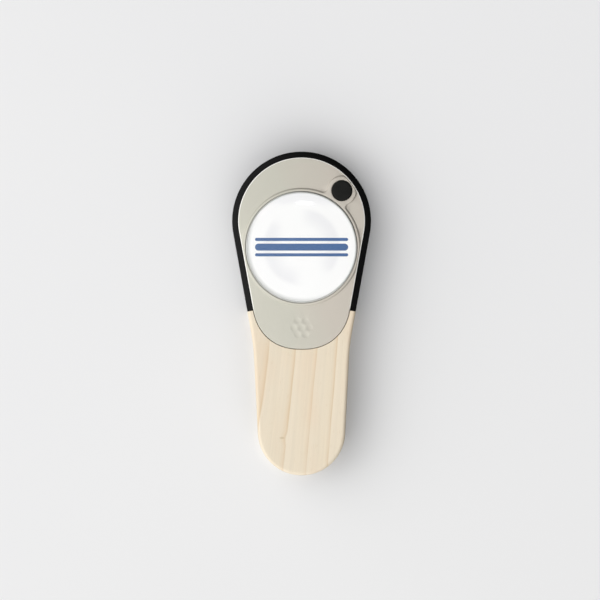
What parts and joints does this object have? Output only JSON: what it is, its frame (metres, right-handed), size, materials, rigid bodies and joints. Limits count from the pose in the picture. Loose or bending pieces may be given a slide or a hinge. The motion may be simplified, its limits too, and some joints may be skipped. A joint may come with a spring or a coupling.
{
  "type": "divot repair tool",
  "caption": "Pear-shaped push-button divot repair tool with a fold-out fork, wooden handle scales and a domed magnetic ball marker.",
  "frame": {"origin": "on the axis of the ball marker, in the plane of the back face that the tool rests on", "axes": "+Z out of the front face along the marker's axis, +Y along the tool towards its head, +X to the right seen from the front"},
  "size_m": [0.0398, 0.0927, 0.0128],
  "materials": {
    "champagne_metal": "champagne anodised, finely bead-blasted",
    "pale_wood": "pale straight-grained wood with a thin satin lacquer",
    "black_metal": "black anodised, satin",
    "black_plastic": "moulded, matte",
    "steel": "stainless, finely brushed",
    "nickel": "bright nickel plating",
    "brass": "turned",
    "white_print": "white print with a plain blue aiming mark",
    "clear_resin": "clear domed epoxy, glossy"
  },
  "bodies": {
    "body": {"front_bolster": "champagne_metal", "rear_bolster": "champagne_metal", "front_wood_scale": "pale_wood", "rear_wood_scale": "pale_wood", "front_frame": "black_metal", "rear_frame": "black_metal", "spacer": "black_plastic", "marker_magnet": "nickel", "body_head_screw": "steel", "body_side_screw": "steel", "body_waist_screw": "steel", "body_end_screw_right": "steel", "body_end_screw_left": "steel", "front_liner_screw_1": "steel", "front_liner_screw_2": "steel", "front_liner_screw_3": "steel", "rear_liner_screw_1": "steel", "rear_liner_screw_2": "steel", "rear_liner_screw_3": "steel", "front_insert_1": "brass", "front_insert_2": "brass", "front_insert_3": "brass", "front_insert_4": "brass", "rear_insert": "brass", "open_stop_standoff": "steel", "closed_stop_pin": "steel", "pivot_barrel": "steel", "pivot_screw": "steel", "rear_washer": "brass", "front_washer": "brass", "torsion_spring": "steel"},
    "fork": {"fork": "steel", "spring_peg": "steel"},
    "button": {"button_cap": "black_plastic", "lock_plunger": "steel", "button_spring": "steel"},
    "marker": {"marker_coin": "nickel", "marker_label": "white_print", "marker_dome": "clear_resin"}
  },
  "joints": [
    {"name": "fork_swing", "type": "hinge", "parent": "body", "child": "fork", "pos_m": [0, 0.012, 0.00551], "axis": [0, 0, -1], "range_deg": [0, 180]},
    {"name": "button_press", "type": "slide", "parent": "body", "child": "button", "axis": [0, 0, -1], "range_m": [0, 0.001], "stiffness_N_per_m": 800, "deforming": ["button_spring"]},
    {"name": "marker_lift", "type": "slide", "parent": "body", "child": "marker", "axis": [0, 0, 1], "range_m": [0, 0.02]}
  ]
}
